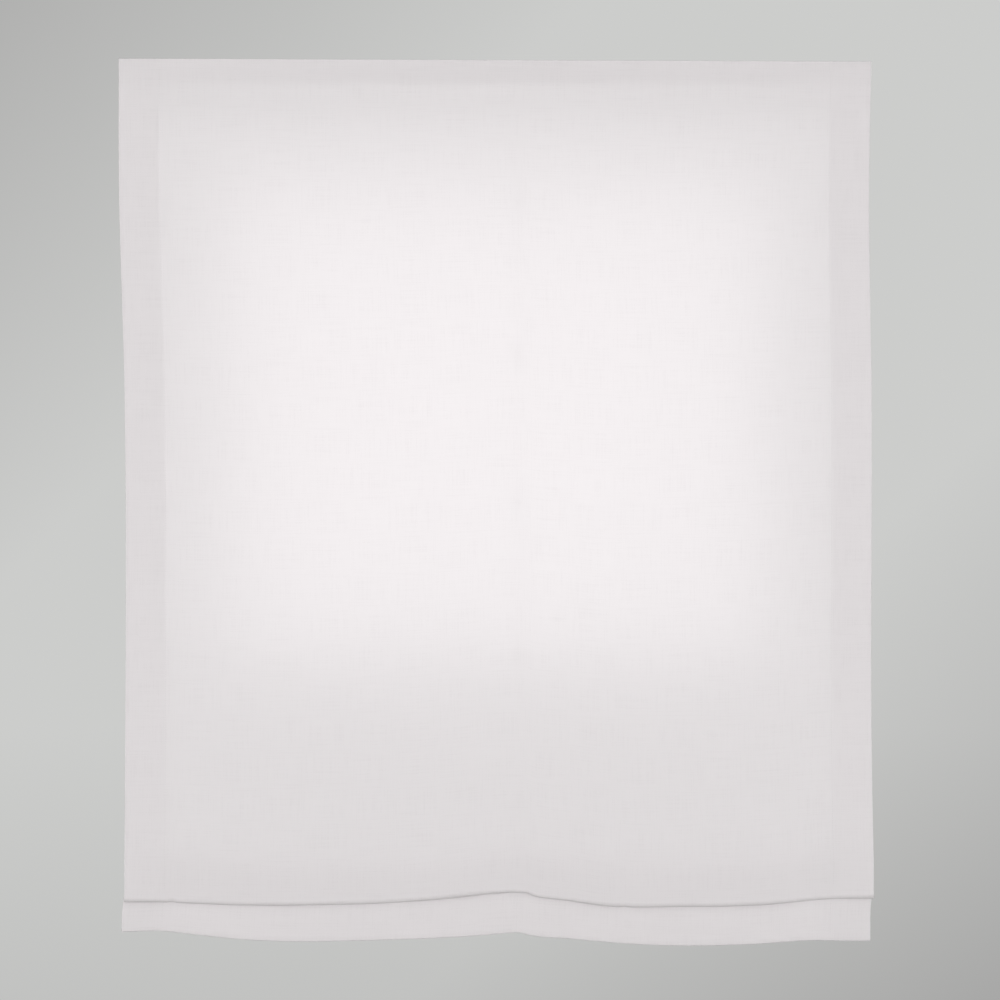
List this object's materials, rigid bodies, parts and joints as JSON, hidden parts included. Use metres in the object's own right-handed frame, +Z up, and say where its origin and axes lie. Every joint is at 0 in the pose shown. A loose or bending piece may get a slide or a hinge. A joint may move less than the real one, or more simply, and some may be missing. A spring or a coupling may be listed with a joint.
{
  "type": "roman blind",
  "caption": "Soft white cloth roman blind hung by tape on a slim open headrail, with cords, rings, a turning lift shaft and twist-lock wall brackets behind it.",
  "frame": {"origin": "centre of the wall screw holes of the two brackets, on the wall plane", "axes": "+X to the right along the headrail, -Y out of the wall towards the room, +Z up"},
  "size_m": [1, 0.0488, 1.1815],
  "materials": {
    "white_fabric": "plain weave, translucent",
    "white_aluminium": "powder-coated extrusion",
    "white_tape": "hook and loop pile",
    "shaft_metal": "drawn bar",
    "white_plastic": "moulded, fine spark texture",
    "pale_nylon": "natural nylon",
    "ring_plastic": "moulded",
    "white_cord": "braided",
    "spring_steel": "bright wire",
    "zinc_steel": "zinc plated",
    "lock_steel": "zinc plated"
  },
  "bodies": {
    "rail_and_cloth": {"cloth_panel": "white_fabric", "headrail": "white_aluminium", "hook_tape": "white_tape", "loop_tape": "white_tape", "idle_end_cap": "white_plastic", "drive_housing": "white_plastic", "drive_cover": "white_plastic", "cover_screws": "zinc_steel", "spool_cradle_left": "white_plastic", "spool_cradle_middle": "white_plastic", "spool_cradle_right": "white_plastic", "lift_cord_left": "white_cord", "lift_cord_middle": "white_cord", "lift_cord_right": "white_cord", "wall_bracket_left": "zinc_steel", "lock_rivet_left": "zinc_steel", "wall_bracket_right": "zinc_steel", "lock_rivet_right": "zinc_steel"},
    "shaft_set": {"lift_shaft": "shaft_metal", "idle_bush": "pale_nylon", "drive_hub": "pale_nylon", "chain_wheel": "pale_nylon", "clutch_spring": "spring_steel", "cord_spool_left": "pale_nylon", "cord_spool_middle": "pale_nylon", "cord_spool_right": "pale_nylon", "wound_cord_left": "white_cord", "wound_cord_middle": "white_cord", "wound_cord_right": "white_cord"},
    "rings_1": {"ring_row_1": "ring_plastic", "cord_adjuster_left": "white_plastic", "cord_adjuster_middle": "white_plastic", "cord_adjuster_right": "white_plastic"},
    "rings_2": {"ring_row_2": "ring_plastic"},
    "rings_3": {"ring_row_3": "ring_plastic"},
    "rings_4": {"ring_row_4": "ring_plastic"},
    "rings_5": {"ring_row_5": "ring_plastic"},
    "rings_6": {"ring_row_6": "ring_plastic"},
    "lock_left": {"twist_lock_left": "lock_steel"},
    "lock_right": {"twist_lock_right": "lock_steel"}
  },
  "joints": [
    {"name": "shaft_turn", "type": "hinge", "parent": "rail_and_cloth", "child": "shaft_set", "pos_m": [0, -0.0278, 0], "axis": [-1, 0, 0], "range_deg": [0, 4441.76]},
    {"name": "rings_1_rise", "type": "slide", "parent": "rail_and_cloth", "child": "rings_1", "axis": [0, 0, 1], "range_m": [0, 0.8297], "deforming": ["cloth_panel", "lift_cord_left", "lift_cord_middle", "lift_cord_right"]},
    {"name": "rings_2_rise", "type": "slide", "parent": "rail_and_cloth", "child": "rings_2", "axis": [0, 0, 1], "range_m": [0, 0.8025]},
    {"name": "rings_3_rise", "type": "slide", "parent": "rail_and_cloth", "child": "rings_3", "axis": [0, 0, 1], "range_m": [0, 0.6243]},
    {"name": "rings_4_rise", "type": "slide", "parent": "rail_and_cloth", "child": "rings_4", "axis": [0, 0, 1], "range_m": [0, 0.4663]},
    {"name": "rings_5_rise", "type": "slide", "parent": "rail_and_cloth", "child": "rings_5", "axis": [0, 0, 1], "range_m": [0, 0.3083]},
    {"name": "rings_6_rise", "type": "slide", "parent": "rail_and_cloth", "child": "rings_6", "axis": [0, 0, 1], "range_m": [0, 0.1503]},
    {"name": "lock_left_turn", "type": "hinge", "parent": "rail_and_cloth", "child": "lock_left", "pos_m": [-0.25, -0.024, 0.015], "axis": [0, 0, 1], "range_deg": [-90, 0]},
    {"name": "lock_right_turn", "type": "hinge", "parent": "rail_and_cloth", "child": "lock_right", "pos_m": [0.25, -0.024, 0.015], "axis": [0, 0, 1], "range_deg": [-90, 0]}
  ],
  "couplings": [
    {"joint": "rings_1_rise", "follows": "shaft_turn", "m_per_rad": 0.0107},
    {"joint": "rings_2_rise", "follows": "shaft_turn", "m_per_rad": 0.010349},
    {"joint": "rings_3_rise", "follows": "shaft_turn", "m_per_rad": 0.0080505},
    {"joint": "rings_4_rise", "follows": "shaft_turn", "m_per_rad": 0.0060124},
    {"joint": "rings_5_rise", "follows": "shaft_turn", "m_per_rad": 0.0039743},
    {"joint": "rings_6_rise", "follows": "shaft_turn", "m_per_rad": 0.0019362}
  ]
}
